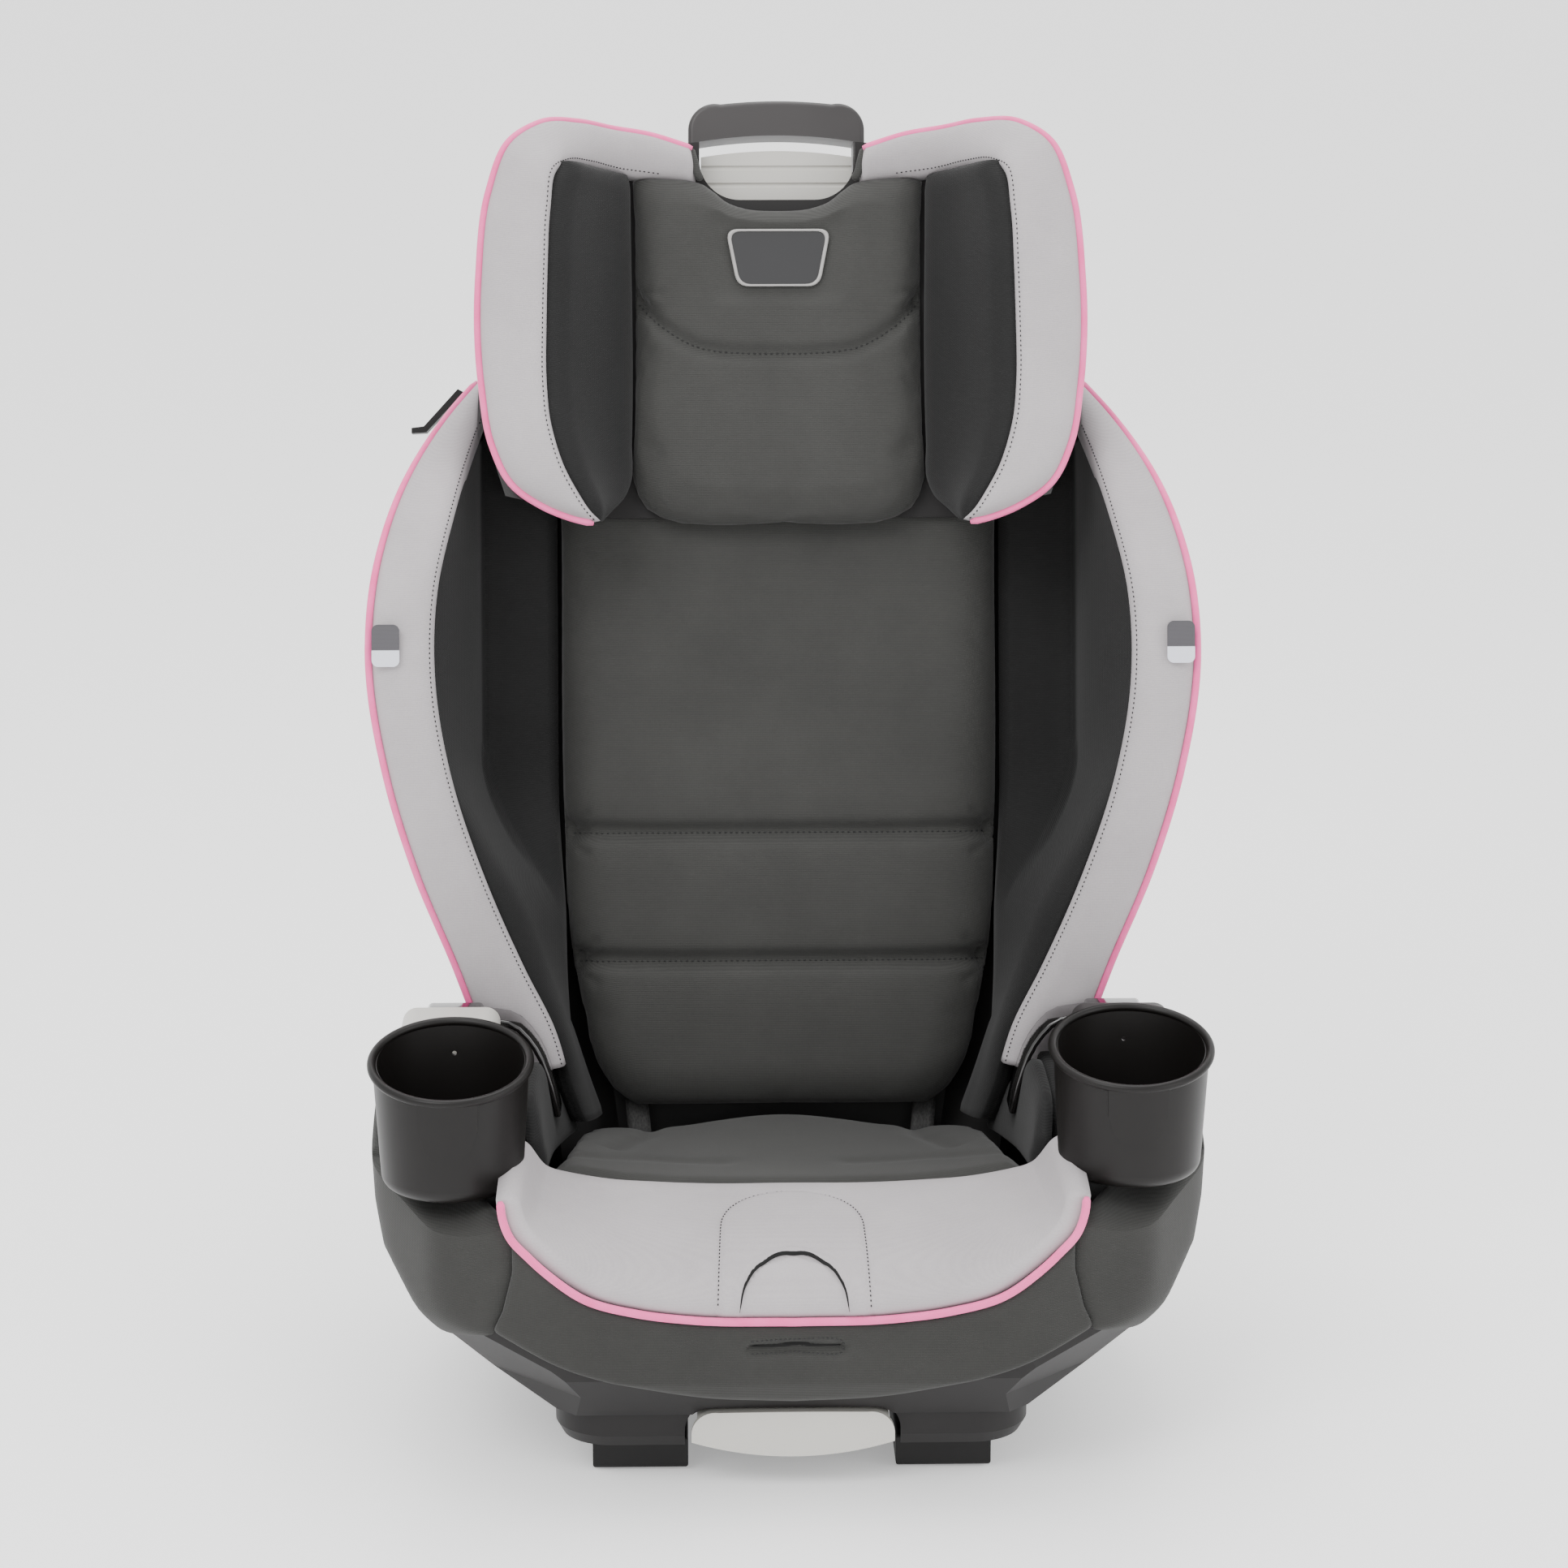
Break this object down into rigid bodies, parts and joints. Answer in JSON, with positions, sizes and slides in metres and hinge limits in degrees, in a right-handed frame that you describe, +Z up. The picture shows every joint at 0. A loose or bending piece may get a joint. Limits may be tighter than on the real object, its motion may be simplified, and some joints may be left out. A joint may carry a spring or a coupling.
{
  "type": "booster car seat",
  "caption": "High-back child car seat in booster mode, with a reclining shell on a base, a height-adjustable winged headrest and lift-off cup holders.",
  "frame": {"origin": "on the floor, under the middle of the seat's bounding box", "axes": "+Z up, the seat faces -Y, +X to the right of someone who faces the seat"},
  "size_m": [0.518, 0.5035, 0.7786],
  "materials": {
    "base_plastic": "fine-grained black moulded plastic",
    "foot_rubber": "matt black non-slip rubber",
    "steel": "zinc-plated steel",
    "shell_plastic": "warm dark grey moulded polypropylene with a fine grain",
    "handle_plastic": "dark grey satin plastic",
    "light_plastic": "light grey satin plastic",
    "cup_plastic": "matt warm black plastic",
    "gloss_black": "polished black plastic",
    "foam": "closed-cell foam",
    "charcoal_fabric": "charcoal rib knit over foam",
    "dark_fabric": "near-black rib knit over foam",
    "grey_fabric": "light grey rib knit over foam",
    "pink_piping": "pink corded piping",
    "webbing": "black woven harness webbing",
    "label_tape": "woven label, dark above and pale below",
    "badge": "dark soft badge with a pale rim"
  },
  "bodies": {
    "base": {"base_frame": "base_plastic", "base_foot_pads": "foot_rubber", "recline_racks": "steel", "rack_screws": "steel", "recline_pivot_tube": "steel", "recline_pivot_clips": "steel"},
    "seat": {"armrest_cap_left": "light_plastic", "armrest_cap_right": "handle_plastic", "armrest_core_left": "dark_fabric", "armrest_core_right": "dark_fabric", "armrest_cover_left": "charcoal_fabric", "armrest_cover_right": "charcoal_fabric", "back_border_left": "grey_fabric", "back_border_right": "grey_fabric", "back_liner": "foam", "back_pad": "charcoal_fabric", "back_piping": "pink_piping", "back_shell": "shell_plastic", "belt_guide_left": "gloss_black", "belt_guide_right": "gloss_black", "belt_keeper": "base_plastic", "bolster_left": "dark_fabric", "bolster_right": "dark_fabric", "height_racks": "base_plastic", "hip_straps": "webbing", "recline_springs": "steel", "seat_apron": "charcoal_fabric", "seat_front_panel": "grey_fabric", "seat_pad": "charcoal_fabric", "seat_piping": "pink_piping", "seat_shell": "shell_plastic", "seat_side_left": "dark_fabric", "seat_side_right": "dark_fabric", "shell_screws": "steel", "side_labels": "label_tape"},
    "headrest": {"headrest_badge": "badge", "headrest_border_left": "grey_fabric", "headrest_border_right": "grey_fabric", "headrest_carrier": "base_plastic", "headrest_grip_springs": "steel", "headrest_handle": "handle_plastic", "headrest_pad": "charcoal_fabric", "headrest_piping": "pink_piping", "headrest_shell": "shell_plastic", "headrest_straps": "charcoal_fabric", "headrest_wing_left": "dark_fabric", "headrest_wing_right": "dark_fabric", "shoulder_belt_guide_left": "gloss_black", "shoulder_belt_guide_right": "gloss_black"},
    "headrest_release": {"headrest_grip": "light_plastic", "headrest_pull_rods": "steel"},
    "headrest_lock": {"headrest_lock_bar": "steel"},
    "recline_lever": {"recline_handle": "light_plastic", "recline_latch": "steel"},
    "cup_left": {"cup_holder_left": "cup_plastic"},
    "cup_right": {"cup_holder_right": "cup_plastic"}
  },
  "joints": [
    {"name": "recline", "type": "hinge", "parent": "base", "child": "seat", "pos_m": [0, 0.1143, 0.058], "axis": [-1, 0, 0], "range_deg": [0, 9]},
    {"name": "headrest_height", "type": "slide", "parent": "seat", "child": "headrest", "axis": [0, 0.225, 0.9744], "range_m": [-0.1155, 0.066]},
    {"name": "grip_squeeze", "type": "slide", "parent": "headrest", "child": "headrest_release", "axis": [0, 0.225, 0.9744], "range_m": [0, 0.005], "stiffness_N_per_m": 600, "springref_m": -0.004},
    {"name": "lock_draw", "type": "slide", "parent": "headrest", "child": "headrest_lock", "axis": [0, -0.9744, 0.225], "range_m": [0, 0.007]},
    {"name": "recline_pull", "type": "slide", "parent": "seat", "child": "recline_lever", "axis": [0, -1, 0], "range_m": [0, 0.012], "stiffness_N_per_m": 500, "springref_m": -0.006},
    {"name": "cup_left_lift", "type": "slide", "parent": "seat", "child": "cup_left", "axis": [0, 0, 1], "range_m": [0, 0.06]},
    {"name": "cup_right_lift", "type": "slide", "parent": "seat", "child": "cup_right", "axis": [0, 0, 1], "range_m": [0, 0.06]}
  ],
  "couplings": [
    {"joint": "lock_draw", "follows": "grip_squeeze", "ratio": 1.4}
  ]
}
